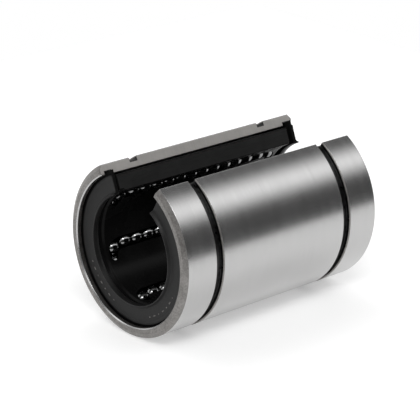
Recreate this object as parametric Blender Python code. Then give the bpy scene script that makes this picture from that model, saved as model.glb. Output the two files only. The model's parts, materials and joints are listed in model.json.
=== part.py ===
"""Open-type linear ball bushing for a 25 mm shaft.

The bushing's axis is X, from the front end (-X) to the rear end (+X). The lengthwise opening for the
shaft's rail points to +Z, and the origin is on the axis at mid-length. Angles around the axis are
measured from +Z towards +Y.

A steel sleeve holds a plastic cage with five ball circuits. In each circuit the balls run along the
shaft in a load row, round a turn, back in a return row and round the other turn. The balls of one row or
turn are joined by thin necks, so that each group is one body that a joint can carry.
"""

import math

import bmesh
import bpy
from mathutils import Matrix, Vector

MM = 0.001

# Catalogue sizes of the open 25 mm bushing
SHAFT_RADIUS = 12.5 * MM
SLEEVE_RADIUS = 20.0 * MM
SLEEVE_LENGTH = 59.0 * MM
GROOVE_SPAN = 41.0 * MM          # outer flank to outer flank
GROOVE_WIDTH = 1.85 * MM
GROOVE_RADIUS = 19.0 * MM

# The sleeve's opening, whose faces lie along the radius
OPENING_ANGLE = math.radians(60.0)

# The cage and seals are one insert with an opening of its own, which sits a little turned in the sleeve
INSERT_OPENING_WIDTH = 12.0 * MM  # at the shaft's surface
INSERT_OPENING_ANGLE = math.radians(50.0)
INSERT_TURN = math.radians(-3.0)
OPENING_LOW = 3.0 * MM           # the opening cutter reaches from here to above the sleeve
OPENING_HIGH = 26.0 * MM

# Balls: nearly touching, 12 in a straight row and 2 in a turn
BALL_RADIUS = 3.4 / 2 * MM
BALL_PITCH = 3.5 * MM
BALLS_PER_ROW = 12
BALLS_PER_TURN = 2

# Sleeve details
END_CHAMFER_LENGTH = 0.75 * MM
END_CHAMFER_DEPTH = 1.1 * MM
GROOVE_CHAMFER = 0.25 * MM
COLLAR_RADIUS = 17.6 * MM        # at the front end, outside the front seal
COLLAR_LENGTH = 1.25 * MM
COLLAR_CHAMFER = 0.25 * MM
SEAL_SEAT_RADIUS = 18.3 * MM
SEAL_SEAT_DEPTH = 3.0 * MM       # from the sleeve's end to the inner side of the seat
SEAL_SEAT_CHAMFER = 0.15 * MM
RELIEF_RADIUS = 17.45 * MM
LAND_CLEARANCE = 0.28 * MM       # between a raceway land and its balls
LAND_RADIUS = SHAFT_RADIUS + 2 * BALL_RADIUS + LAND_CLEARANCE
LAND_HALF_WIDTH = 1.2 * MM
LAND_END_GAP = 0.5 * MM           # from a land's end to the start of the turn

# Ball circuits
CIRCUITS = 5
CIRCUIT_STEP = math.radians(60.0)
FIRST_LOAD_ANGLE = math.radians(50.0) + INSERT_TURN
LOAD_TO_RETURN = math.radians(19.0)
LOAD_TRACK_RADIUS = SHAFT_RADIUS + BALL_RADIUS
RETURN_TRACK_RADIUS = 15.3 * MM
TRACK_HALF_LENGTH = BALLS_PER_ROW * BALL_PITCH / 2
CHANNEL_RADIUS = BALL_RADIUS + 0.2 * MM
CHANNEL_HEIGHT = 5.0 * MM
NECK_RADIUS = 0.45 * MM
TURN_BALL_ANGLES = (math.radians(46.5), math.radians(133.5))

# Cage
CAGE_BORE_RADIUS = 13.0 * MM
CAGE_RADIUS = 16.95 * MM
CAGE_FRONT = -26.75 * MM
CAGE_REAR = 25.85 * MM           # shorter at the rear, where a space is left in front of the seal
CAGE_BORE_CHAMFER = 0.4 * MM
CAGE_ENTRY_RADIUS = 13.45 * MM   # the bore's wider front end
CAGE_ENTRY_LENGTH = 1.1 * MM

# End seals
SEAL_RADIUS = 18.0 * MM          # in the seat, behind the front collar
SEAL_BORE_RADIUS = 12.85 * MM
SEAL_LIP_RADIUS = 12.6 * MM
SEAL_THICKNESS = 0.95 * MM
SEAL_SETBACK = 1.5 * MM
SEAL_LIP_HEIGHT = 0.65 * MM
SEAL_LIP_WIDTH = 0.7 * MM
SEAL_LIP_FLARE = 0.1 * MM        # how far the lip's tip opens out
SEAL_LIP_TIP_WIDTH = 0.2 * MM

# Mesh resolution
TURNED_STEPS = 60
BALL_SIDES = 6
BALL_BANDS = 3
TURN_STEPS = 6
CHANNEL_STEPS = 8
SHARP_ANGLE = math.radians(35.0)

HALF_LENGTH = SLEEVE_LENGTH / 2


def clear_scene():
    for item in list(bpy.data.objects):
        bpy.data.objects.remove(item, do_unlink=True)


def make_material(name, colour, roughness, metallic):
    """A plain Principled material with one colour."""
    material = bpy.data.materials.new(name)
    material.use_nodes = True
    shader = material.node_tree.nodes["Principled BSDF"]
    shader.inputs["Base Color"].default_value = (*colour, 1.0)
    shader.inputs["Roughness"].default_value = roughness
    shader.inputs["Metallic"].default_value = metallic
    return material


def make_object(name, points, faces, material=None):
    """A closed mesh object with its faces pointing out, shaded smooth between its sharp edges."""
    mesh = bpy.data.meshes.new(name)
    mesh.from_pydata([tuple(point) for point in points], [], faces)
    work = bmesh.new()
    work.from_mesh(mesh)
    bmesh.ops.recalc_face_normals(work, faces=work.faces)
    work.to_mesh(mesh)
    work.free()
    mesh.shade_smooth()
    mesh.set_sharp_from_angle(angle=SHARP_ANGLE)
    if material:
        mesh.materials.append(material)
    item = bpy.data.objects.new(name, mesh)
    bpy.context.scene.collection.objects.link(item)
    return item


def make_cutter(name, points, faces):
    cutter = make_object(name, points, faces)
    cutter.hide_render = True
    cutter.display_type = "WIRE"
    return cutter


def around(radius, angle, x=0.0):
    """The point at a radius and an angle from +Z towards +Y."""
    return Vector((x, radius * math.sin(angle), radius * math.cos(angle)))


def join_with(item, tool, operation):
    modifier = item.modifiers.new(tool.name, "BOOLEAN")
    modifier.operation = operation
    modifier.solver = "EXACT"
    modifier.object = tool


def turned(profile, steps, start=0.0, sweep=math.tau):
    """Points and faces of a closed (x, radius) profile turned about X."""
    full = sweep >= math.tau
    columns = steps if full else steps + 1
    count = len(profile)
    points = []
    for column in range(columns):
        angle = start + sweep * column / steps
        points += [around(radius, angle, x) for x, radius in profile]
    faces = []
    for column in range(steps):
        here = column * count
        there = (column + 1) % columns * count
        for row in range(count):
            after = (row + 1) % count
            faces.append((here + row, here + after, there + after, there + row))
    if not full:
        faces.append(tuple(reversed(range(count))))
        last = (columns - 1) * count
        faces.append(tuple(last + row for row in range(count)))
    return points, faces


def extruded_along_x(outline, half_length):
    """Points and faces of a prism with a (y, z) outline."""
    count = len(outline)
    points = [Vector((x, y, z)) for x in (-half_length, half_length) for y, z in outline]
    faces = [tuple(reversed(range(count))), tuple(range(count, 2 * count))]
    for row in range(count):
        after = (row + 1) % count
        faces.append((row, after, count + after, count + row))
    return points, faces


def insert_opening_outline():
    """The insert's V-shaped opening as (y, z) points, turned with the insert."""
    lean = INSERT_OPENING_ANGLE / 2
    half_width = INSERT_OPENING_WIDTH / 2
    foot_z = math.sqrt(SHAFT_RADIUS**2 - half_width**2)
    outline = []
    for side, z in ((-1, OPENING_LOW), (1, OPENING_LOW), (1, OPENING_HIGH), (-1, OPENING_HIGH)):
        y = side * (half_width + (z - foot_z) * math.tan(lean))
        place = around(math.hypot(y, z), math.atan2(y, z) + INSERT_TURN)
        outline.append((place.y, place.z))
    return outline


def cut_insert_opening(item):
    points, faces = extruded_along_x(insert_opening_outline(), SLEEVE_LENGTH)
    cutter = make_cutter(item.name + "_opening_cutter", points, faces)
    join_with(item, cutter, "DIFFERENCE")


def mirrored(half_profile):
    """A profile's rear half added to its front half, which runs towards the middle."""
    return half_profile + [(-x, radius) for x, radius in reversed(half_profile)]


def groove_flanks():
    outer = GROOVE_SPAN / 2
    return [
        (-outer - GROOVE_CHAMFER, SLEEVE_RADIUS),
        (-outer, SLEEVE_RADIUS - GROOVE_CHAMFER),
        (-outer, GROOVE_RADIUS),
        (-outer + GROOVE_WIDTH, GROOVE_RADIUS),
        (-outer + GROOVE_WIDTH, SLEEVE_RADIUS - GROOVE_CHAMFER),
        (-outer + GROOVE_WIDTH + GROOVE_CHAMFER, SLEEVE_RADIUS),
    ]


def sleeve_profile():
    """The sleeve's wall as a closed outline: the bore from front to rear, then the outside back."""
    front = -HALF_LENGTH
    rear = HALF_LENGTH
    inside = [
        (front, COLLAR_RADIUS + COLLAR_CHAMFER),
        (front + COLLAR_CHAMFER, COLLAR_RADIUS),
        (front + COLLAR_LENGTH, COLLAR_RADIUS),
        (front + COLLAR_LENGTH, SEAL_SEAT_RADIUS),
        (front + SEAL_SEAT_DEPTH, SEAL_SEAT_RADIUS),
        (front + SEAL_SEAT_DEPTH, RELIEF_RADIUS),
        (rear - SEAL_SEAT_DEPTH, RELIEF_RADIUS),
        (rear - SEAL_SEAT_DEPTH, SEAL_SEAT_RADIUS),
        (rear - SEAL_SEAT_CHAMFER, SEAL_SEAT_RADIUS),
        (rear, SEAL_SEAT_RADIUS + SEAL_SEAT_CHAMFER),
    ]
    outside = mirrored([
        (front, SLEEVE_RADIUS - END_CHAMFER_DEPTH),
        (front + END_CHAMFER_LENGTH, SLEEVE_RADIUS),
        *groove_flanks(),
    ])
    return inside + list(reversed(outside))


def raceway_land(load_angle):
    """One raised raceway inside the sleeve, which stands on the wall."""
    radial = around(1.0, load_angle)
    side = around(1.0, load_angle + math.pi / 2)
    half_length = TRACK_HALF_LENGTH - LAND_END_GAP
    root = (RELIEF_RADIUS + SLEEVE_RADIUS) / 2
    corners = [(-1, LAND_RADIUS), (-1, root), (1, root), (1, LAND_RADIUS)]
    outline = []
    for sign, height in corners:
        place = radial * height + side * (sign * LAND_HALF_WIDTH)
        outline.append((place.y, place.z))
    return extruded_along_x(outline, half_length)


def make_sleeve(material):
    sweep = math.tau - OPENING_ANGLE
    steps = round(TURNED_STEPS * sweep / math.tau)
    wall = turned(sleeve_profile(), steps, OPENING_ANGLE / 2, sweep)
    sleeve = make_object("outer_sleeve", *wall, material)
    for number in range(CIRCUITS):
        points, faces = raceway_land(FIRST_LOAD_ANGLE + number * CIRCUIT_STEP)
        land = make_cutter(f"raceway_land_{number + 1}", points, faces)
        join_with(sleeve, land, "UNION")
    return sleeve


class Circuit:
    """The plane and the axes of one ball circuit."""

    def __init__(self, number):
        load_angle = FIRST_LOAD_ANGLE + number * CIRCUIT_STEP
        self.load = around(LOAD_TRACK_RADIUS, load_angle)
        self.back = around(RETURN_TRACK_RADIUS, load_angle + LOAD_TO_RETURN)
        self.across = (self.back - self.load).normalized()
        self.turn_radius = (self.back - self.load).length / 2
        self.middle = (self.load + self.back) / 2
        self.normal = Vector((1, 0, 0)).cross(self.across)

    def turn_centre(self, end):
        """The centre of the turn at the front (-1) or rear (1) end."""
        return self.middle + Vector((end * TRACK_HALF_LENGTH, 0, 0))

    def turn_point(self, end, angle):
        """A point on a turn; the angle is 0 at the load row and pi at the return row."""
        along = Vector((end, 0, 0))
        arm = along * math.sin(angle) - self.across * math.cos(angle)
        return self.turn_centre(end) + arm * self.turn_radius

    def path(self):
        """The closed track's points, each with its direction out of the loop and in the loop's plane."""
        stations = []
        for end in (1, -1):
            for step in range(TURN_STEPS + 1):
                angle = math.pi * step / TURN_STEPS
                if end < 0:
                    angle = math.pi - angle
                place = self.turn_point(end, angle)
                stations.append((place, (place - self.turn_centre(end)).normalized()))
        return stations


def channel_section():
    """The channel's outline as (sideways, outward) steps from the track: a round floor, open outward."""
    outline = []
    for step in range(CHANNEL_STEPS + 1):
        angle = math.pi + math.pi * step / CHANNEL_STEPS
        outline.append((CHANNEL_RADIUS * math.cos(angle), CHANNEL_RADIUS * math.sin(angle)))
    outline.append((CHANNEL_RADIUS, CHANNEL_HEIGHT))
    outline.append((-CHANNEL_RADIUS, CHANNEL_HEIGHT))
    return outline


def make_channel_cutter(number):
    """The racetrack channel that one circuit's balls run in."""
    circuit = Circuit(number)
    section = channel_section()
    count = len(section)
    stations = circuit.path()
    points = []
    for place, outward in stations:
        for sideways, height in section:
            points.append(place + outward * sideways + circuit.normal * height)
    faces = []
    for column in range(len(stations)):
        here = column * count
        there = (column + 1) % len(stations) * count
        for row in range(count):
            after = (row + 1) % count
            faces.append((here + row, there + row, there + after, here + after))
    return make_cutter(f"channel_cutter_{number + 1}", points, faces)


def cage_profile():
    """The cage's wall: the bore with its wider front end, from front to rear, then the outside back."""
    front_step = CAGE_FRONT + CAGE_ENTRY_LENGTH
    return [
        (CAGE_FRONT, CAGE_ENTRY_RADIUS),
        (front_step, CAGE_ENTRY_RADIUS),
        (front_step + CAGE_BORE_CHAMFER, CAGE_BORE_RADIUS),
        (CAGE_REAR - CAGE_BORE_CHAMFER, CAGE_BORE_RADIUS),
        (CAGE_REAR, CAGE_BORE_RADIUS + CAGE_BORE_CHAMFER),
        (CAGE_REAR, CAGE_RADIUS),
        (CAGE_FRONT, CAGE_RADIUS),
    ]


def make_cage(material):
    cage = make_object("ball_cage", *turned(cage_profile(), TURNED_STEPS), material)
    cut_insert_opening(cage)
    for number in range(CIRCUITS):
        join_with(cage, make_channel_cutter(number), "DIFFERENCE")
    return cage


def seal_profile(end):
    """The seal's section: a flat disc with a lip that tapers outward along the shaft."""
    face = HALF_LENGTH - SEAL_SETBACK
    back = face - SEAL_THICKNESS
    outline = [
        (back, SEAL_BORE_RADIUS),
        (face, SEAL_LIP_RADIUS),
        (face + SEAL_LIP_HEIGHT, SEAL_LIP_RADIUS + SEAL_LIP_FLARE),
        (face + SEAL_LIP_HEIGHT, SEAL_LIP_RADIUS + SEAL_LIP_FLARE + SEAL_LIP_TIP_WIDTH),
        (face, SEAL_LIP_RADIUS + SEAL_LIP_WIDTH),
        (face, SEAL_RADIUS),
        (back, SEAL_RADIUS),
    ]
    if end < 0:
        outline = [(-x, radius) for x, radius in reversed(outline)]
    return outline


def make_seal(name, end, material):
    seal = make_object(name, *turned(seal_profile(end), TURNED_STEPS), material)
    cut_insert_opening(seal)
    return seal


def bead_profile(count, pitch):
    """(distance along the string, radius) of equal balls joined by necks."""
    neck_angle = math.asin(NECK_RADIUS / BALL_RADIUS)
    outline = []
    for ball in range(count):
        centre = (ball - (count - 1) / 2) * pitch
        for band in range(BALL_BANDS + 1):
            angle = neck_angle + (math.pi - 2 * neck_angle) * band / BALL_BANDS
            outline.append((centre - BALL_RADIUS * math.cos(angle), BALL_RADIUS * math.sin(angle)))
    return outline


def make_bead_string(name, count, pitch, material):
    """Balls in a line along the object's own X, closed at both ends."""
    outline = bead_profile(count, pitch)
    tip = (count - 1) * pitch / 2 + BALL_RADIUS
    points = [Vector((-tip, 0, 0))]
    for x, radius in outline:
        points += [around(radius, math.tau * side / BALL_SIDES, x) for side in range(BALL_SIDES)]
    points.append(Vector((tip, 0, 0)))
    last = len(points) - 1
    faces = []
    for side in range(BALL_SIDES):
        after = (side + 1) % BALL_SIDES
        faces.append((0, 1 + after, 1 + side))
        for ring in range(len(outline) - 1):
            here = 1 + ring * BALL_SIDES
            there = here + BALL_SIDES
            faces.append((here + side, here + after, there + after, there + side))
        end = last - BALL_SIDES
        faces.append((last, end + side, end + after))
    return make_object(name, points, faces, material)


def place(item, origin, x_axis, z_axis):
    """Put an object's origin and axes where they belong."""
    y_axis = z_axis.cross(x_axis)
    turn = Matrix((x_axis, y_axis, z_axis)).transposed()
    item.location = origin
    item.rotation_euler = turn.to_euler()


def make_circuit_balls(number, material):
    """The two straight rows and the two turns of one circuit."""
    circuit = Circuit(number)
    along = Vector((1, 0, 0))
    for name, origin in (("load_row", circuit.load), ("return_row", circuit.back)):
        row = make_bead_string(f"{name}_{number + 1}", BALLS_PER_ROW, BALL_PITCH, material)
        place(row, origin, along, circuit.normal)
    for name, end in (("front_turn", -1), ("rear_turn", 1)):
        first, second = (circuit.turn_point(end, angle) for angle in TURN_BALL_ANGLES)
        pair = make_bead_string(f"{name}_{number + 1}", BALLS_PER_TURN, (second - first).length, material)
        middle = (first + second) / 2
        # The pair's origin is the turn's centre, where its hinge is.
        offset = (circuit.turn_centre(end) - middle).length
        pair.data.transform(Matrix.Translation((0, offset, 0)))
        forward = circuit.across * -end
        place(pair, circuit.turn_centre(end), forward, circuit.normal)


def build():
    clear_scene()
    ground_steel = make_material("ground_steel", (0.62, 0.62, 0.61), 0.24, 1.0)
    ball_steel = make_material("ball_steel", (0.85, 0.85, 0.86), 0.06, 1.0)
    black_plastic = make_material("black_plastic", (0.012, 0.012, 0.013), 0.38, 0.0)
    black_rubber = make_material("black_rubber", (0.025, 0.025, 0.025), 0.6, 0.0)
    make_sleeve(ground_steel)
    make_cage(black_plastic)
    for name, end in (("front", -1), ("rear", 1)):
        make_seal(f"{name}_seal", end, black_rubber)
    for number in range(CIRCUITS):
        make_circuit_balls(number, ball_steel)


build()
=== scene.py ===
"""Looks of the open linear ball bushing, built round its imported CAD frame.

The bushing's axis is X and its lengthwise opening points to +Z. Angles around the axis are measured from
+Z towards +Y. Lengths are in millimetres and are scaled when a mesh is made, unless a comment says metres.
"""

import json
import math
import random

import bmesh
import bpy
import numpy as np
from mathutils import Matrix, Vector


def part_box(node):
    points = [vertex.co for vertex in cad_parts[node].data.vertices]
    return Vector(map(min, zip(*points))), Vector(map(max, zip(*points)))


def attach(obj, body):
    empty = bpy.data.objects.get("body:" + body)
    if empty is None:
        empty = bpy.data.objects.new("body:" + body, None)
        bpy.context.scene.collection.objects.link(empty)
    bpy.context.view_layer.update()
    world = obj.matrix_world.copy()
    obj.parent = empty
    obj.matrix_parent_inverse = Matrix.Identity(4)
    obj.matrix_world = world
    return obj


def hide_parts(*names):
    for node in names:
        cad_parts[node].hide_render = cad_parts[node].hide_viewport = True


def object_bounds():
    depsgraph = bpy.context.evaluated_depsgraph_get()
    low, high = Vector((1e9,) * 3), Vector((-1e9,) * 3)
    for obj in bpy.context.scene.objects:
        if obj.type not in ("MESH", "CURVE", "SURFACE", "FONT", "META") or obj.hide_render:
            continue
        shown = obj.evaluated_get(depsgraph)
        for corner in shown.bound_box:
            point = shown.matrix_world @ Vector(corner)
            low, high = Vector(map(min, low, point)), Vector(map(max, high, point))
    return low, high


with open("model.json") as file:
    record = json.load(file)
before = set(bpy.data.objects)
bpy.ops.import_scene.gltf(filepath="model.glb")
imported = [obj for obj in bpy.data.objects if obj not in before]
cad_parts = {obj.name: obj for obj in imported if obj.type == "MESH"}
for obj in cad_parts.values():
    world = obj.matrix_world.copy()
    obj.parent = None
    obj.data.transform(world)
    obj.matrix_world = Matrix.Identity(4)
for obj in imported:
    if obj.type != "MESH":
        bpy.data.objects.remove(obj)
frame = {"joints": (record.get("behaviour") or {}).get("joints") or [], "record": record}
cad_low, cad_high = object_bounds()

MM = 0.001
BODY = "sleeve_and_cage"


def extent(node, axis):
    """How far a CAD node reaches along +X, +Y or +Z, in millimetres."""
    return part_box(node)[1][axis] / MM


# ---- Sizes -------------------------------------------------------------------------------------------------
HALF_LENGTH = extent("outer_sleeve", 0)
SLEEVE_RADIUS = extent("outer_sleeve", 1)
SHAFT_RADIUS = 12.5

GROOVE_OUTER = 20.5
GROOVE_WIDTH = 1.85
GROOVE_RADIUS = 19.0
GROOVE_CHAMFER = 0.25
END_CHAMFER_LENGTH = 0.75
END_CHAMFER_DEPTH = 1.1
COLLAR_RADIUS = 17.6
COLLAR_LENGTH = 1.25
COLLAR_CHAMFER = 0.25
SEAT_RADIUS = 18.3
SEAT_DEPTH = 3.0
SEAT_CHAMFER = 0.15
RELIEF_RADIUS = 17.45
LAND_RADIUS = 16.18
LAND_HALF_WIDTH = 1.2
LAND_HOLLOW = 0.12
LAND_END_GAP = 0.5
SLEEVE_EDGE = 0.12

CAGE_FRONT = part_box("ball_cage")[0][0] / MM
CAGE_REAR = extent("ball_cage", 0)
CAGE_RADIUS = extent("ball_cage", 1)
CAGE_BORE_RADIUS = 13.0
CAGE_BORE_CHAMFER = 0.4
CAGE_ENTRY_RADIUS = 13.45
CAGE_ENTRY_LENGTH = 1.1
CHANNEL_CLEARANCE = 0.2
CHANNEL_HEIGHT = 5.0
CAGE_EDGE = 0.15

SEAL_FACE = HALF_LENGTH - 1.5
SEAL_TIP = extent("rear_seal", 0)
SEAL_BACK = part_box("rear_seal")[0][0] / MM
SEAL_RADIUS = SEAT_RADIUS - 0.03
SEAL_RAISED_RADIUS = 17.2
SEAL_RAISED_INNER = SEAL_RAISED_RADIUS - 0.55
SEAL_RIM_DROP = 0.35
SEAL_DISH = 0.06
SEAL_DISH_RADIUS = SEAL_RAISED_RADIUS - 0.80
SEAL_EDGE = 0.08

# The lip: its bore is wider at the seal's back and narrowest at its neck, and its outside spreads to a foot.
LIP_RADIUS = 12.6
LIP_BACK_RADIUS = LIP_RADIUS + 0.25
LIP_NECK_RADIUS = LIP_RADIUS + 0.02
LIP_NECK_DEPTH = 0.35
LIP_TIP_INNER = LIP_RADIUS + 0.10
LIP_TIP_OUTER = LIP_RADIUS + 0.30
LIP_ROOT_RADIUS = LIP_RADIUS + 0.62
LIP_ROOT_HEIGHT = 0.10
LIP_FOOT_RADIUS = LIP_RADIUS + 1.05

# Raised dashes on a seal's face, in two groups; their angles are in degrees from -Z.
DASHES_PER_GROUP = 7
DASH_START = 24
DASH_SPACING = 6.5
DASH_RADIUS = 15.4
DASH_LENGTHS = (0.45, 0.9)
DASH_WIDTH = 0.28
DASH_HEIGHT = 0.10
DASH_ROOT_DEPTH = 0.20
DASH_TOP_SHARE = 0.7
DASH_BEVEL = 0.03

BALL_RADIUS = 3.4 / 2
BALL_PITCH = 3.5
BALLS_PER_ROW = 12
TURN_ANGLES = (math.radians(46.5), math.radians(133.5))
CIRCUITS = 5
BALL_SEED = 25

# How finely the meshes are divided.
TURNED_COLUMNS = 240
RIM_STEPS = 3
FILLET_STEPS = 3
LAND_STEPS = 8
CHANNEL_STEPS = 16
BALL_SEGMENTS = 36
BALL_RINGS = 22
# Edges that bend by more than this stay sharp.
SHARP_ANGLE = math.radians(35.0)
# A fillet takes no more than this share of either side that it joins.
FILLET_SHARE = 0.45
# A cut face is flat inside this many times its rounding.
RIM_MARGIN = 1.5
# An inset corner moves no further than the inset over this.
MITRE_LIMIT = 0.5
NORMAL_WEIGHT = 80

SQUARE = ((-1, -1), (1, -1), (1, 1), (-1, 1))


class Opening:
    """A V-shaped opening along the axis: two flat faces that lean apart, turned about the axis together."""

    def __init__(self, angle, width_at_shaft, turn):
        self.lean = math.radians(angle) / 2
        self.turn = math.radians(turn)
        foot = math.sqrt(SHAFT_RADIUS**2 - (width_at_shaft / 2) ** 2)
        self.offset = width_at_shaft / 2 * math.cos(self.lean) - foot * math.sin(self.lean)

    def angle(self, radius, setback, share):
        """The angle on a circle, share of the way round from one face to the other."""
        start = self.lean + math.asin((self.offset + setback) / radius)
        return self.turn + start + (math.tau - 2 * start) * share


# The sleeve's faces lie along the radius; the cage and the seals have a narrower opening of their own.
SLEEVE_OPENING = Opening(angle=60.0, width_at_shaft=SHAFT_RADIUS, turn=0.0)
INSERT_OPENING = Opening(angle=50.0, width_at_shaft=12.0, turn=-3.0)

# ---- Camera: the photograph's viewing angle ----------------------------------------------------------------
CAMERA_AZIMUTH = -42.5
CAMERA_ELEVATION = 20.8
CAMERA_ROLL = 1.1
CAMERA_DISTANCE = 447.8
CAMERA_TARGET = (-2.03, 3.03, 2.27)
CAMERA_LENS = 167.0
CAMERA_SENSOR = 36.0
# The nearest and the furthest distance that the camera sees, in metres.
CAMERA_CLIP = (0.01, 20.0)


# ---- Mesh helpers ------------------------------------------------------------------------------------------
def around(radius, angle, x=0.0):
    """The point at a radius and an angle from +Z towards +Y."""
    return Vector((x, radius * math.sin(angle), radius * math.cos(angle)))


def new_object(name, data):
    """An object that is part of the scene."""
    item = bpy.data.objects.new(name, data)
    bpy.context.scene.collection.objects.link(item)
    return item


def mesh_object(name, points, faces, materials, slots=None):
    """A closed object from points in millimetres, smooth between its sharp edges."""
    mesh = bpy.data.meshes.new(name)
    mesh.from_pydata([tuple(Vector(point) * MM) for point in points], [], faces)
    for material in materials:
        mesh.materials.append(material)
    if slots:
        mesh.polygons.foreach_set("material_index", slots)
    work = bmesh.new()
    work.from_mesh(mesh)
    bmesh.ops.recalc_face_normals(work, faces=work.faces)
    work.to_mesh(mesh)
    work.free()
    mesh.shade_smooth()
    mesh.set_sharp_from_angle(angle=SHARP_ANGLE)
    return new_object(name, mesh)


def settle(item):
    """Applies an object's modifiers and sharpens its edges again."""
    graph = bpy.context.evaluated_depsgraph_get()
    graph.update()
    mesh = bpy.data.meshes.new_from_object(item.evaluated_get(graph))
    item.modifiers.clear()
    item.data = mesh
    mesh.shade_smooth()
    mesh.set_sharp_from_angle(angle=SHARP_ANGLE)


def combine(item, tools, operation):
    """Joins or cuts an object with others, which are then removed."""
    for tool in tools:
        modifier = item.modifiers.new(tool.name, "BOOLEAN")
        modifier.operation = operation
        modifier.solver = "EXACT"
        modifier.object = tool
    settle(item)
    for tool in tools:
        bpy.data.objects.remove(tool, do_unlink=True)


def weigh_normals(item):
    """Large faces keep their own direction where they meet small roundings."""
    modifier = item.modifiers.new("face_weights", "WEIGHTED_NORMAL")
    modifier.keep_sharp = True
    modifier.weight = NORMAL_WEIGHT


def filleted(outline):
    """A closed outline of (x, radius, fillet, slot) with its corners rounded, as (x, radius, slot)."""
    rounded = []
    count = len(outline)
    for index, (x, radius, fillet, slot) in enumerate(outline):
        before = outline[index - 1]
        after = outline[(index + 1) % count]
        corner = Vector((x, radius))
        back = Vector(before[:2]) - corner
        ahead = Vector(after[:2]) - corner
        half = back.angle(ahead) / 2
        reach = min(fillet / math.tan(half), FILLET_SHARE * back.length, FILLET_SHARE * ahead.length)
        start = corner + back.normalized() * reach
        end = corner + ahead.normalized() * reach
        for step in range(FILLET_STEPS + 1):
            share = step / FILLET_STEPS
            place = start.lerp(corner, share).lerp(corner.lerp(end, share), share)
            rounded.append((place.x, place.y, slot if step == FILLET_STEPS else before[3]))
    return rounded


def inset(outline, depth):
    """The outline's corners moved in by a small depth, with their fillets and slots kept."""
    count = len(outline)
    area = sum(
        outline[i - 1][0] * outline[i][1] - outline[i][0] * outline[i - 1][1] for i in range(count)
    )
    side = 1 if area > 0 else -1
    moved = []
    for index, (x, radius, fillet, slot) in enumerate(outline):
        here = Vector((x, radius))
        before = (here - Vector(outline[index - 1][:2])).normalized()
        after = (Vector(outline[(index + 1) % count][:2]) - here).normalized()
        normal_before = Vector((-before.y, before.x)) * side
        normal_after = Vector((-after.y, after.x)) * side
        middle = (normal_before + normal_after).normalized()
        place = here + middle * (depth / max(MITRE_LIMIT, middle.dot(normal_before)))
        moved.append((place.x, place.y, fillet, slot))
    return moved


def turned_open(name, outline, opening, edge, materials, cut_slot):
    """An outline turned round the axis, from one face of its opening to the other, with rounded rims."""
    bends = np.linspace(0, math.pi / 2, RIM_STEPS + 1)
    rim = [(edge * (1 - math.sin(bend)), edge * (1 - math.cos(bend))) for bend in bends]
    rim.insert(0, (edge * RIM_MARGIN, 0.0))
    stations = [(filleted(inset(outline, depth)), back, 0.0) for depth, back in rim]
    whole = filleted(outline)
    count = len(whole)
    middle = [(whole, edge, column / TURNED_COLUMNS) for column in range(1, TURNED_COLUMNS)]
    far = [(section, back, 1.0) for section, back, _ in reversed(stations)]
    points = []
    for section, back, share in stations + middle + far:
        for corner in section:
            points.append(around(corner[1], opening.angle(corner[1], back, share), corner[0]))
    faces = []
    slots = []
    for column in range(len(points) // count - 1):
        here = column * count
        there = here + count
        for row in range(count):
            after = (row + 1) % count
            faces.append((here + row, here + after, there + after, there + row))
            slots.append(whole[row][2])
    last = len(points) - count
    faces.append(tuple(reversed(range(count))))
    faces.append(tuple(last + row for row in range(count)))
    slots += [cut_slot, cut_slot]
    return mesh_object(name, points, faces, materials, slots)


def mirrored(half_outline):
    """An outline's rear half added to its front half; the slot belongs to the edge that follows a corner."""
    rear = []
    flipped = list(reversed(half_outline))
    for index, (x, radius, fillet, slot) in enumerate(flipped):
        following = flipped[index + 1][3] if index + 1 < len(flipped) else slot
        rear.append((-x, radius, fillet, following))
    return half_outline + rear


def end_for_end(outline):
    """A whole outline turned end for end; the slot belongs to the edge that follows a corner."""
    flipped = [(-x, radius, fillet, slot) for x, radius, fillet, slot in reversed(outline)]
    return [(*corner[:3], flipped[(index + 1) % len(flipped)][3]) for index, corner in enumerate(flipped)]


def finish_piece(item, body, slot, *nodes):
    """Ties a piece to the body it moves with and hides the CAD nodes it stands for; the slot argument is not
    used.
    """
    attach(item, body)
    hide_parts(*nodes)


# ---- Materials ---------------------------------------------------------------------------------------------
# The part of a noise pattern's values that a colour or roughness runs over.
NOISE_RANGE = (0.30, 0.70)


class Tree:
    """A node tree, with short ways to add the nodes that are used here."""

    def __init__(self, tree):
        self.tree = tree

    def add(self, kind):
        return self.tree.nodes.new(kind)

    def link(self, source, target):
        self.tree.links.new(source, target)

    def span(self, value, low, high, start=0.0, end=1.0, interpolation="LINEAR"):
        """The value's share of the way from start to end, as a level between low and high."""
        node = self.add("ShaderNodeMapRange")
        node.interpolation_type = interpolation
        node.inputs["From Min"].default_value = start
        node.inputs["From Max"].default_value = end
        node.inputs["To Min"].default_value = low
        node.inputs["To Max"].default_value = high
        self.link(value, node.inputs["Value"])
        return node.outputs["Result"]

    def maths(self, kind, *values):
        node = self.add("ShaderNodeMath")
        node.operation = kind
        for value, target in zip(values, node.inputs):
            if isinstance(value, (int, float)):
                target.default_value = value
            else:
                self.link(value, target)
        return node.outputs["Value"]


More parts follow.
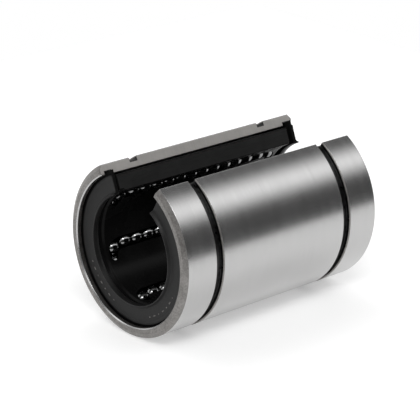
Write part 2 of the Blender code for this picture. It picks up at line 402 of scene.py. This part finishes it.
class Nodes(Tree):
    """A material's node tree."""

    def __init__(self, name):
        self.material = bpy.data.materials.new(name)
        self.material.use_nodes = True
        super().__init__(self.material.node_tree)
        self.shader = self.tree.nodes["Principled BSDF"]
        self.place = self.add("ShaderNodeTexCoord").outputs["Object"]

    def set(self, **values):
        for key, value in values.items():
            self.shader.inputs[key.replace("_", " ")].default_value = value

    def scaled(self, scale):
        node = self.add("ShaderNodeMapping")
        node.inputs["Scale"].default_value = scale
        self.link(self.place, node.inputs["Vector"])
        return node.outputs["Vector"]

    def noise(self, vector, scale, detail=4.0, roughness=0.55):
        node = self.add("ShaderNodeTexNoise")
        node.inputs["Scale"].default_value = scale
        node.inputs["Detail"].default_value = detail
        node.inputs["Roughness"].default_value = roughness
        self.link(vector, node.inputs["Vector"])
        return node.outputs["Fac"]

    def blend(self, first, second, share):
        """Two patterns mixed, with the given share of the first."""
        weighted_first = self.maths("MULTIPLY", first, share)
        weighted_second = self.maths("MULTIPLY", second, 1 - share)
        return self.maths("ADD", weighted_first, weighted_second)

    def colour(self, pattern, dark, light):
        """The base colour runs from dark to light over the middle of a noise pattern's range."""
        node = self.add("ShaderNodeValToRGB")
        for element, place, shade in zip(node.color_ramp.elements, NOISE_RANGE, (dark, light)):
            element.position = place
            element.color = (*shade, 1.0)
        self.link(pattern, node.inputs["Fac"])
        self.link(node.outputs["Color"], self.shader.inputs["Base Color"])

    def rough(self, pattern, low, high):
        self.link(self.span(pattern, low, high, *NOISE_RANGE), self.shader.inputs["Roughness"])

    def bump(self, height, strength, distance):
        node = self.add("ShaderNodeBump")
        node.inputs["Strength"].default_value = strength
        node.inputs["Distance"].default_value = distance * MM
        self.link(height, node.inputs["Height"])
        self.link(node.outputs["Normal"], self.shader.inputs["Normal"])


def grey(level, warmth=0.0):
    """A grey of the given level; warmth makes it redder and less blue."""
    return (level * (1 + warmth), level, level * (1 - warmth))


def ground_steel():
    """Centreless-ground outside: fine rings round the axis, and faint cloudy marks."""
    nodes = Nodes("ground_steel")
    rings = nodes.noise(nodes.scaled((1.0, 0.02, 0.02)), 5200.0, detail=3.0, roughness=0.6)
    broad = nodes.noise(nodes.scaled((1.0, 0.04, 0.04)), 700.0, detail=2.0, roughness=0.5)
    cloud = nodes.noise(nodes.place, 90.0, detail=5.0, roughness=0.6)
    nodes.colour(nodes.blend(rings, cloud, 0.6), grey(0.455, 0.004), grey(0.495, 0.004))
    nodes.rough(nodes.blend(broad, cloud, 0.7), 0.215, 0.255)
    nodes.bump(rings, 0.06, 0.02)
    nodes.set(Metallic=1.0, Anisotropic=0.35)
    tangent = nodes.add("ShaderNodeTangent")
    tangent.direction_type = "RADIAL"
    tangent.axis = "X"
    nodes.link(tangent.outputs["Tangent"], nodes.shader.inputs["Tangent"])
    return nodes.material


def turned_steel():
    """End rings and chamfers: hardened and turned, matte and slightly warm."""
    nodes = Nodes("turned_steel")
    grain = nodes.noise(nodes.place, 2600.0, detail=4.0, roughness=0.65)
    cloud = nodes.noise(nodes.place, 420.0, detail=4.0, roughness=0.65)
    tone = nodes.blend(grain, cloud, 0.6)
    nodes.colour(tone, grey(0.110, 0.045), grey(0.325, 0.035))
    nodes.rough(tone, 0.38, 0.52)
    nodes.bump(grain, 0.12, 0.03)
    nodes.set(Metallic=1.0)
    return nodes.material


def milled_steel():
    """Faces of the opening: a milled cut with fine lines across the wall."""
    nodes = Nodes("milled_steel")
    lines = nodes.noise(nodes.scaled((1.0, 0.05, 0.05)), 3300.0, detail=3.0, roughness=0.6)
    cloud = nodes.noise(nodes.place, 220.0, detail=5.0, roughness=0.6)
    tone = nodes.blend(lines, cloud, 0.4)
    nodes.colour(tone, grey(0.38, 0.04), grey(0.48, 0.035))
    nodes.rough(tone, 0.42, 0.58)
    nodes.bump(lines, 0.15, 0.04)
    nodes.set(Metallic=0.85)
    return nodes.material


def groove_steel_painted_shade():
    """Grooves: steel painted nearly black as painted shade inside the groove, with a turned sheen, so it
    stays dark until it faces a light.
    """
    nodes = Nodes("groove_steel_painted_shade")
    rings = nodes.noise(nodes.scaled((1.0, 0.05, 0.05)), 4200.0, detail=3.0, roughness=0.6)
    flecks = nodes.noise(nodes.place, 900.0, detail=4.0, roughness=0.65)
    # The near-black base colour is painted shade for the groove's hollow; the flecks vary it.
    nodes.colour(nodes.blend(rings, flecks, 0.4), grey(0.012), grey(0.080))
    nodes.rough(flecks, 0.24, 0.40)
    nodes.bump(rings, 0.10, 0.03)
    nodes.set(Metallic=1.0)
    return nodes.material


def inside_steel_painted_shade():
    """The inside wall: steel painted nearly black as painted shade inside the sleeve, behind the seals and
    the cage.
    """
    nodes = Nodes("inside_steel_painted_shade")
    grain = nodes.noise(nodes.place, 1800.0, detail=4.0, roughness=0.65)
    cloud = nodes.noise(nodes.place, 420.0, detail=4.0, roughness=0.65)
    # The near-black base colour is painted shade for the seats, collar backs and wall inside the sleeve.
    nodes.colour(cloud, grey(0.006), grey(0.042))
    nodes.rough(cloud, 0.34, 0.55)
    nodes.bump(grain, 0.15, 0.03)
    nodes.set(Metallic=0.6)
    return nodes.material


def chrome_steel():
    """Polished bearing balls with a thin, uneven film of oil; their colour is kept far darker than polished
    steel as painted shade for the dim cage they sit in.
    """
    nodes = Nodes("chrome_steel")
    film = nodes.noise(nodes.place, 900.0, detail=4.0, roughness=0.6)
    # The oil film varies the colour; its low level overall is painted shade.
    nodes.colour(film, grey(0.19, -0.006), grey(0.25, -0.004))
    nodes.rough(film, 0.03, 0.09)
    nodes.bump(nodes.noise(nodes.place, 2400.0, detail=2.0), 0.015, 0.02)
    nodes.set(Metallic=1.0)
    return nodes.material


def black_plastic():
    """The cage's moulded skin: nearly black and glossy, with a slight ripple."""
    nodes = Nodes("black_plastic")
    cloud = nodes.noise(nodes.place, 150.0, detail=5.0, roughness=0.6)
    fine = nodes.noise(nodes.place, 1600.0, detail=3.0, roughness=0.6)
    nodes.colour(cloud, grey(0.0035), grey(0.0075))
    nodes.rough(cloud, 0.20, 0.32)
    nodes.bump(fine, 0.05, 0.03)
    nodes.set(Specular_IOR_Level=0.06)
    return nodes.material


def cut_plastic():
    """The cage's side faces in the opening: matte and a little lighter."""
    nodes = Nodes("cut_plastic")
    lines = nodes.noise(nodes.scaled((0.12, 1.0, 1.0)), 1500.0, detail=4.0, roughness=0.65)
    cloud = nodes.noise(nodes.place, 240.0, detail=5.0, roughness=0.6)
    nodes.colour(cloud, grey(0.006), grey(0.012))
    nodes.rough(lines, 0.50, 0.70)
    nodes.bump(lines, 0.10, 0.04)
    nodes.set(Specular_IOR_Level=0.25)
    return nodes.material


def black_rubber():
    """End seals: matte rubber with a fine grain and a dusty bloom."""
    nodes = Nodes("black_rubber")
    grain = nodes.noise(nodes.place, 3000.0, detail=3.0, roughness=0.7)
    cloud = nodes.noise(nodes.place, 180.0, detail=5.0, roughness=0.65)
    nodes.colour(cloud, grey(0.007), grey(0.022))
    nodes.rough(cloud, 0.50, 0.72)
    nodes.bump(grain, 0.14, 0.03)
    nodes.set(Specular_IOR_Level=0.28)
    return nodes.material


def cut_rubber_painted_shade():
    """The seals' edges in the opening, their rims and their backs: painted darker than their faces as painted
    shade in the gaps beside them, and dull.
    """
    nodes = Nodes("cut_rubber_painted_shade")
    grain = nodes.noise(nodes.place, 2200.0, detail=4.0, roughness=0.7)
    cloud = nodes.noise(nodes.place, 300.0, detail=4.0, roughness=0.6)
    # The very dark colour is painted shade.
    nodes.colour(cloud, grey(0.003), grey(0.006))
    nodes.rough(grain, 0.65, 0.80)
    nodes.bump(grain, 0.16, 0.03)
    nodes.set(Specular_IOR_Level=0.08)
    return nodes.material


def dash_rubber_painted_highlight():
    """The raised dashes on the seals: the same rubber, painted pale all over as a painted highlight where
    they catch the light.
    """
    nodes = Nodes("dash_rubber_painted_highlight")
    cloud = nodes.noise(nodes.place, 700.0, detail=4.0, roughness=0.6)
    # The pale colour is a painted highlight.
    nodes.colour(cloud, grey(0.07, 0.05), grey(0.20, 0.04))
    nodes.rough(cloud, 0.45, 0.62)
    nodes.bump(nodes.noise(nodes.place, 2600.0, detail=3.0), 0.08, 0.03)
    nodes.set(Specular_IOR_Level=0.35)
    return nodes.material


def lip_rubber():
    """The seals' lips: the same rubber, moulded smooth."""
    nodes = Nodes("lip_rubber")
    cloud = nodes.noise(nodes.place, 260.0, detail=4.0, roughness=0.6)
    nodes.colour(cloud, grey(0.008), grey(0.015))
    nodes.rough(cloud, 0.34, 0.46)
    nodes.bump(nodes.noise(nodes.place, 1500.0, detail=3.0), 0.05, 0.03)
    nodes.set(Specular_IOR_Level=0.22)
    return nodes.material


# ---- Sleeve ------------------------------------------------------------------------------------------------
# DARK and GROOVE faces get near-black steel, which is painted shade.
GROUND, TURNED, MILLED, DARK, GROOVE = range(5)


def groove_outline():
    """The groove on the front half of the sleeve, with a small chamfer at each side."""
    inner = GROOVE_OUTER - GROOVE_WIDTH
    return [
        (-GROOVE_OUTER - GROOVE_CHAMFER, SLEEVE_RADIUS, 0.05, TURNED),
        (-GROOVE_OUTER, SLEEVE_RADIUS - GROOVE_CHAMFER, 0.04, GROOVE),
        (-GROOVE_OUTER, GROOVE_RADIUS, 0.12, GROOVE),
        (-inner, GROOVE_RADIUS, 0.12, GROOVE),
        (-inner, SLEEVE_RADIUS - GROOVE_CHAMFER, 0.04, TURNED),
        (-inner + GROOVE_CHAMFER, SLEEVE_RADIUS, 0.05, GROUND),
    ]


def sleeve_outline():
    """The wall: the bore from front to rear, then the outside from rear to front."""
    front, rear = -HALF_LENGTH, HALF_LENGTH
    inside = [
        (front, COLLAR_RADIUS + COLLAR_CHAMFER, 0.06, GROUND),
        (front + COLLAR_CHAMFER, COLLAR_RADIUS, 0.06, TURNED),
        (front + COLLAR_LENGTH, COLLAR_RADIUS, 0.06, DARK),
        (front + COLLAR_LENGTH, SEAT_RADIUS, 0.04, DARK),
        (front + SEAT_DEPTH, SEAT_RADIUS, 0.08, DARK),
        (front + SEAT_DEPTH, RELIEF_RADIUS, 0.08, DARK),
        (rear - SEAT_DEPTH, RELIEF_RADIUS, 0.08, DARK),
        (rear - SEAT_DEPTH, SEAT_RADIUS, 0.08, DARK),
        (rear - SEAT_CHAMFER, SEAT_RADIUS, 0.04, TURNED),
        (rear, SEAT_RADIUS + SEAT_CHAMFER, 0.05, TURNED),
    ]
    outside = mirrored([
        (front, SLEEVE_RADIUS - END_CHAMFER_DEPTH, 0.10, TURNED),
        (front + END_CHAMFER_LENGTH, SLEEVE_RADIUS, 0.12, GROUND),
        *groove_outline(),
    ])
    backwards = [(-x, radius, fillet, slot) for x, radius, fillet, slot in outside]
    # The last corner's edge is the ring at the front end, which closes the outline.
    backwards[-1] = (*backwards[-1][:3], TURNED)
    return inside + backwards


def raceway_land(circuit):
    """A raised raceway with a shallow hollow along it, which the load balls run in."""
    root = (RELIEF_RADIUS + SLEEVE_RADIUS) / 2
    outline = [(LAND_HALF_WIDTH, root), (-LAND_HALF_WIDTH, root)]
    for step in range(LAND_STEPS + 1):
        share = 2 * step / LAND_STEPS - 1
        outline.append((share * LAND_HALF_WIDTH, LAND_RADIUS + LAND_HOLLOW * (1 - share**2)))
    half = circuit.half_length - LAND_END_GAP
    radial = circuit.load_radial
    sideways = Vector((1, 0, 0)).cross(radial)
    points = [
        Vector((x, 0, 0)) + sideways * across + radial * height
        for x in (-half, half) for across, height in outline
    ]
    count = len(outline)
    faces = [tuple(reversed(range(count))), tuple(range(count, 2 * count))]
    for row in range(count):
        after = (row + 1) % count
        faces.append((row, after, count + after, count + row))
    return mesh_object("land", points, faces, [])


def make_sleeve(circuits, materials):
    outline = sleeve_outline()
    sleeve = turned_open("outer_sleeve_shell", outline, SLEEVE_OPENING, SLEEVE_EDGE, materials, MILLED)
    combine(sleeve, [raceway_land(circuit) for circuit in circuits], "UNION")
    weigh_normals(sleeve)
    finish_piece(sleeve, BODY, "sleeve_steel", "outer_sleeve")


# ---- Ball circuits -----------------------------------------------------------------------------------------
class Circuit:
    """One racetrack loop of balls, found from the joints of its two turns."""

    def __init__(self, number):
        joints = {joint["name"]: joint for joint in frame["joints"]}
        couplings = frame["record"]["behaviour"]["couplings"]
        hinge = joints[f"rear_turn_hinge_{number}"]
        ratio = next(item["ratio"] for item in couplings if item["joint"] == hinge["name"])
        self.number = number
        # A hinge's ratio to the slide's travel, in radians per metre, is one over the turn's radius.
        self.radius = 1 / ratio / MM
        self.normal = Vector(hinge["axis"]).normalized()
        centre = Vector(hinge["pos_m"]) / MM
        self.half_length = centre.x
        self.middle = Vector((0, centre.y, centre.z))
        self.across = self.normal.cross(Vector((1, 0, 0)))
        self.load = self.middle - self.across * self.radius
        self.back = self.middle + self.across * self.radius
        self.load_radial = self.load.normalized()

    def turn_point(self, end, angle):
        """A point on a turn and the way out of the loop; the angle runs from 0 at the load row to pi."""
        centre = self.middle + Vector((end * self.half_length, 0, 0))
        arm = Vector((end * math.sin(angle), 0, 0)) - self.across * math.cos(angle)
        return centre + arm * self.radius, arm

    def loop(self, steps):
        """Points all the way round the circuit, each with the direction out of the loop."""
        stations = [self.turn_point(1, math.pi * step / steps) for step in range(steps + 1)]
        stations += [self.turn_point(-1, math.pi * (1 - step / steps)) for step in range(steps + 1)]
        return stations


def channel_cutter(circuit):
    """The racetrack channel: a round floor, open outward."""
    radius = BALL_RADIUS + CHANNEL_CLEARANCE
    angles = [math.pi * (1 + step / CHANNEL_STEPS) for step in range(CHANNEL_STEPS + 1)]
    section = [(radius * math.cos(angle), radius * math.sin(angle)) for angle in angles]
    section += [(radius, CHANNEL_HEIGHT), (-radius, CHANNEL_HEIGHT)]
    stations = circuit.loop(CHANNEL_STEPS)
    count = len(section)
    points = []
    for place, outward in stations:
        points += [place + outward * sideways + circuit.normal * height for sideways, height in section]
    faces = []
    for column in range(len(stations)):
        here = column * count
        there = (column + 1) % len(stations) * count
        for row in range(count):
            after = (row + 1) % count
            faces.append((here + row, there + row, there + after, here + after))
    return mesh_object("channel", points, faces, [])


def add_ball(work, centre, rng):
    """A ball with its poles turned at random, so that no two show the same facets."""
    spin = Matrix.Rotation(rng.uniform(0, math.tau), 4, "Z")
    lean = Matrix.Rotation(rng.uniform(0, math.pi), 4, "X")
    place = Matrix.Translation(centre * MM) @ (spin @ lean)
    size = BALL_RADIUS * MM
    bmesh.ops.create_uvsphere(
        work, u_segments=BALL_SEGMENTS, v_segments=BALL_RINGS, radius=size, matrix=place
    )


def make_balls(node, centres, material, rng):
    """The separate balls of one row or turn, in place of its CAD node."""
    name = f"{node}_balls"
    work = bmesh.new()
    for centre in centres:
        add_ball(work, centre, rng)
    mesh = bpy.data.meshes.new(name)
    work.to_mesh(mesh)
    work.free()
    mesh.shade_smooth()
    mesh.materials.append(material)
    finish_piece(new_object(name, mesh), node, "ball_steel", node)


def make_circuit_balls(circuit, material, rng):
    offsets = [(ball - (BALLS_PER_ROW - 1) / 2) * BALL_PITCH for ball in range(BALLS_PER_ROW)]
    for row, start in (("load_row", circuit.load), ("return_row", circuit.back)):
        centres = [start + Vector((offset, 0, 0)) for offset in offsets]
        make_balls(f"{row}_{circuit.number}", centres, material, rng)
    for turn, end in (("front_turn", -1), ("rear_turn", 1)):
        centres = [circuit.turn_point(end, angle)[0] for angle in TURN_ANGLES]
        make_balls(f"{turn}_{circuit.number}", centres, material, rng)


# ---- Cage --------------------------------------------------------------------------------------------------
SKIN, CUT = range(2)


def cage_outline():
    """The cage's wall: the bore with its wider front end, from front to rear, then the outside back."""
    front_step = CAGE_FRONT + CAGE_ENTRY_LENGTH
    return [
        (CAGE_FRONT, CAGE_ENTRY_RADIUS, 0.15, SKIN),
        (front_step, CAGE_ENTRY_RADIUS, 0.15, SKIN),
        (front_step + CAGE_BORE_CHAMFER, CAGE_BORE_RADIUS, 0.2, SKIN),
        (CAGE_REAR - CAGE_BORE_CHAMFER, CAGE_BORE_RADIUS, 0.2, SKIN),
        (CAGE_REAR, CAGE_BORE_RADIUS + CAGE_BORE_CHAMFER, 0.15, SKIN),
        (CAGE_REAR, CAGE_RADIUS, 0.15, SKIN),
        (CAGE_FRONT, CAGE_RADIUS, 0.15, SKIN),
    ]


def make_cage(circuits, materials):
    cage = turned_open("ball_cage_moulding", cage_outline(), INSERT_OPENING, CAGE_EDGE, materials, CUT)
    combine(cage, [channel_cutter(circuit) for circuit in circuits], "DIFFERENCE")
    weigh_normals(cage)
    finish_piece(cage, BODY, "cage_plastic", "ball_cage")


# ---- Seals -------------------------------------------------------------------------------------------------
# EDGE faces get the darker rubber, which is painted shade.
FACE, EDGE, LIP = range(3)


def seal_outline(end):
    """A rubber disc: a lip that tapers out along the shaft, a raised face, and a lower rim in the seat."""
    dish = SEAL_FACE - SEAL_DISH
    rim = SEAL_FACE - SEAL_RIM_DROP
    outline = [
        (SEAL_BACK, LIP_BACK_RADIUS, 0.10, LIP),
        (SEAL_FACE - LIP_NECK_DEPTH, LIP_NECK_RADIUS, 0.15, LIP),
        (SEAL_TIP, LIP_TIP_INNER, 0.05, LIP),
        (SEAL_TIP, LIP_TIP_OUTER, 0.10, LIP),
        (SEAL_FACE + LIP_ROOT_HEIGHT, LIP_ROOT_RADIUS, 0.20, FACE),
        (dish, LIP_FOOT_RADIUS, 0.30, FACE),
        (dish, SEAL_DISH_RADIUS, 0.30, FACE),
        (SEAL_FACE, SEAL_RAISED_INNER, 0.10, FACE),
        (SEAL_FACE, SEAL_RAISED_RADIUS, 0.10, EDGE),
        (rim, SEAL_RAISED_RADIUS, 0.05, EDGE),
        (rim, SEAL_RADIUS, 0.12, EDGE),
        (SEAL_BACK, SEAL_RADIUS, 0.12, EDGE),
    ]
    if end < 0:
        outline = end_for_end(outline)
    return outline


def moulded_dash(end, angle, length):
    """A plain raised dash on a seal's face, narrower at its top, as (points, faces)."""
    root = SEAL_FACE - DASH_ROOT_DEPTH
    top = SEAL_FACE - SEAL_DISH + DASH_HEIGHT
    radial = around(1.0, angle)
    side = around(1.0, angle + math.pi / 2)
    points = []
    for x, share in ((root, 1.0), (top, DASH_TOP_SHARE)):
        for across, along in SQUARE:
            outward = radial * (DASH_RADIUS + along * DASH_WIDTH / 2 * share)
            sideways = side * (across * length / 2 * share)
            points.append(Vector((end * x, 0, 0)) + (outward + sideways))
    faces = [(3, 2, 1, 0), (4, 5, 6, 7)]
    faces += [(row, (row + 1) % 4, 4 + (row + 1) % 4, 4 + row) for row in range(4)]
    return points, faces


def make_dashes(name, end, material):
    """Both groups of dashes on one seal, as one piece."""
    points = []
    faces = []
    for group in (-1, 1):
        for index in range(DASHES_PER_GROUP):
            angle = math.pi + group * math.radians(DASH_START + DASH_SPACING * index)
            dash_points, dash_faces = moulded_dash(end, angle, DASH_LENGTHS[index % 2])
            faces += [tuple(len(points) + corner for corner in face) for face in dash_faces]
            points += dash_points
    dashes = mesh_object(name, points, faces, [material])
    bevel = dashes.modifiers.new("soft_edges", "BEVEL")
    bevel.width = DASH_BEVEL * MM
    bevel.segments = 2
    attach(dashes, BODY)


def make_seal(name, end, materials, dash_material):
    seal = turned_open(f"{name}_rubber", seal_outline(end), INSERT_OPENING, SEAL_EDGE, materials, EDGE)
    weigh_normals(seal)
    finish_piece(seal, BODY, "seal_rubber", name)
    make_dashes(f"{name}_moulded_dashes", end, dash_material)


# ---- Studio ------------------------------------------------------------------------------------------------
# How bright the room is straight up and from the strips down, and how bright the strips are. Tilts are
# measured from straight up.
ROOM_TOP = 0.11
ROOM_LOW = 0.08
STRIP_LEVEL = 1.6
STRIP_TILT = math.radians(34.0)
STRIP_HALF_WIDTH = math.radians(27.0)
# A pale screen beyond the far side; its edges are given by how far the direction points to +Y.
SCREEN_LEVEL = 1.0
SCREEN_RIM = 0.70
SCREEN_FULL = 0.95
# The lights and the floor are placed and sized in metres, and their power is in watts.
CEILING_PLACE = (0.0, 0.0, 1.6)
CEILING_SIZE = (8.0, 8.0)
CEILING_POWER = 30.0
KEY_PLACE = (-0.5, -0.6, 0.9)
KEY_SIZE = (0.5, 0.25)
KEY_POWER = 3.0
FLOOR_REACH = 0.19
FLOOR_GLOW = 0.34


def camera_axes():
    """The camera's right, up and back directions."""
    azimuth = math.radians(CAMERA_AZIMUTH)
    elevation = math.radians(CAMERA_ELEVATION)
    back = Vector((
        math.sin(azimuth) * math.cos(elevation),
        -math.cos(azimuth) * math.cos(elevation),
        math.sin(elevation),
    ))
    level = Vector((0, 0, 1)).cross(back).normalized()
    right = Matrix.Rotation(math.radians(CAMERA_ROLL), 3, back) @ level
    return right, back.cross(right), back


def make_camera():
    data = bpy.data.cameras.new("camera")
    data.lens = CAMERA_LENS
    data.sensor_width = CAMERA_SENSOR
    data.clip_start, data.clip_end = CAMERA_CLIP
    camera = new_object("camera", data)
    right, up, back = camera_axes()
    place = (Vector(CAMERA_TARGET) + back * CAMERA_DISTANCE) * MM
    turn = Matrix((right, up, back)).transposed().to_4x4()
    camera.matrix_world = Matrix.Translation(place) @ turn
    bpy.context.scene.camera = camera


def pale_floor():
    """A white sheet on a light table, which keeps the object's shadow faint."""
    nodes = Nodes("pale_floor")
    cloud = nodes.noise(nodes.place, 3.0, detail=4.0, roughness=0.5)
    nodes.colour(cloud, grey(0.80), grey(0.82))
    nodes.rough(cloud, 0.75, 0.85)
    nodes.set(Specular_IOR_Level=0.15, Emission_Color=(1.0, 1.0, 1.0, 1.0), Emission_Strength=FLOOR_GLOW)
    return nodes.material


def make_floor():
    """The floor touches the bushing's lowest line."""
    corners = [(x * FLOOR_REACH, y * FLOOR_REACH, cad_low.z) for x, y in SQUARE]
    mesh = bpy.data.meshes.new("floor")
    mesh.from_pydata(corners, [], [(0, 1, 2, 3)])
    mesh.materials.append(pale_floor())
    floor = new_object("floor", mesh)


def make_area_light(name, place, size, power, glossy=True):
    """A rectangular light aimed at the bushing's middle and hidden from the camera."""
    data = bpy.data.lights.new(name, "AREA")
    data.shape = "RECTANGLE"
    data.size, data.size_y = size
    data.energy = power
    light = new_object(name, data)
    light.location = place
    light.rotation_euler = (-Vector(place)).to_track_quat("-Z", "Y").to_euler()
    light.visible_camera = False
    light.visible_glossy = glossy


def make_world():
    """A dim room with a long soft strip of light high on each side and a pale screen at +Y; white in view."""
    world = bpy.data.worlds.new("studio")
    world.use_nodes = True
    bpy.context.scene.world = world
    world.node_tree.nodes.clear()
    tree = Tree(world.node_tree)
    parts = tree.add("ShaderNodeSeparateXYZ")
    tree.link(tree.add("ShaderNodeTexCoord").outputs["Generated"], parts.inputs["Vector"])
    sideways = tree.maths("ABSOLUTE", parts.outputs["Y"])
    tilt = tree.maths("ARCTAN2", sideways, parts.outputs["Z"])
    room = tree.span(tilt, ROOM_TOP, ROOM_LOW, 0.0, STRIP_TILT, "SMOOTHSTEP")
    aside = tree.maths("ABSOLUTE", tree.maths("SUBTRACT", tilt, STRIP_TILT))
    strip = tree.span(aside, STRIP_LEVEL, 0.0, 0.0, STRIP_HALF_WIDTH, "SMOOTHSTEP")
    studio = tree.add("ShaderNodeBackground")
    screen = tree.span(parts.outputs["Y"], 0.0, SCREEN_LEVEL, SCREEN_RIM, SCREEN_FULL, "SMOOTHSTEP")
    tree.link(tree.maths("ADD", tree.maths("ADD", room, strip), screen), studio.inputs["Strength"])
    plain = tree.add("ShaderNodeBackground")
    mixed = tree.add("ShaderNodeMixShader")
    tree.link(tree.add("ShaderNodeLightPath").outputs["Is Camera Ray"], mixed.inputs["Fac"])
    for source, target in ((studio, mixed.inputs[1]), (plain, mixed.inputs[2])):
        source.inputs["Color"].default_value = (1.0, 1.0, 1.0, 1.0)
        tree.link(source.outputs["Background"], target)
    tree.link(mixed.outputs["Shader"], tree.add("ShaderNodeOutputWorld").inputs["Surface"])


def make_studio():
    make_camera()
    make_floor()
    make_world()
    make_area_light("ceiling", CEILING_PLACE, CEILING_SIZE, CEILING_POWER, glossy=False)
    make_area_light("key", KEY_PLACE, KEY_SIZE, KEY_POWER)
    bpy.context.scene.view_settings.view_transform = "Standard"


# ---- Everything --------------------------------------------------------------------------------------------
def build():
    """Makes every piece; each list of materials is in the order of that piece's slots."""
    rng = random.Random(BALL_SEED)
    circuits = [Circuit(number) for number in range(1, CIRCUITS + 1)]
    make_sleeve(circuits, [ground_steel(), turned_steel(), milled_steel(), inside_steel_painted_shade(), groove_steel_painted_shade()])
    make_cage(circuits, [black_plastic(), cut_plastic()])
    rubber = [black_rubber(), cut_rubber_painted_shade(), lip_rubber()]
    # The dashes' pale rubber is a painted highlight.
    dash_highlight_paint = dash_rubber_painted_highlight()
    for name, end in (("front_seal", -1), ("rear_seal", 1)):
        make_seal(name, end, rubber, dash_highlight_paint)
    chrome = chrome_steel()
    for circuit in circuits:
        make_circuit_balls(circuit, chrome, rng)
    make_studio()


build()
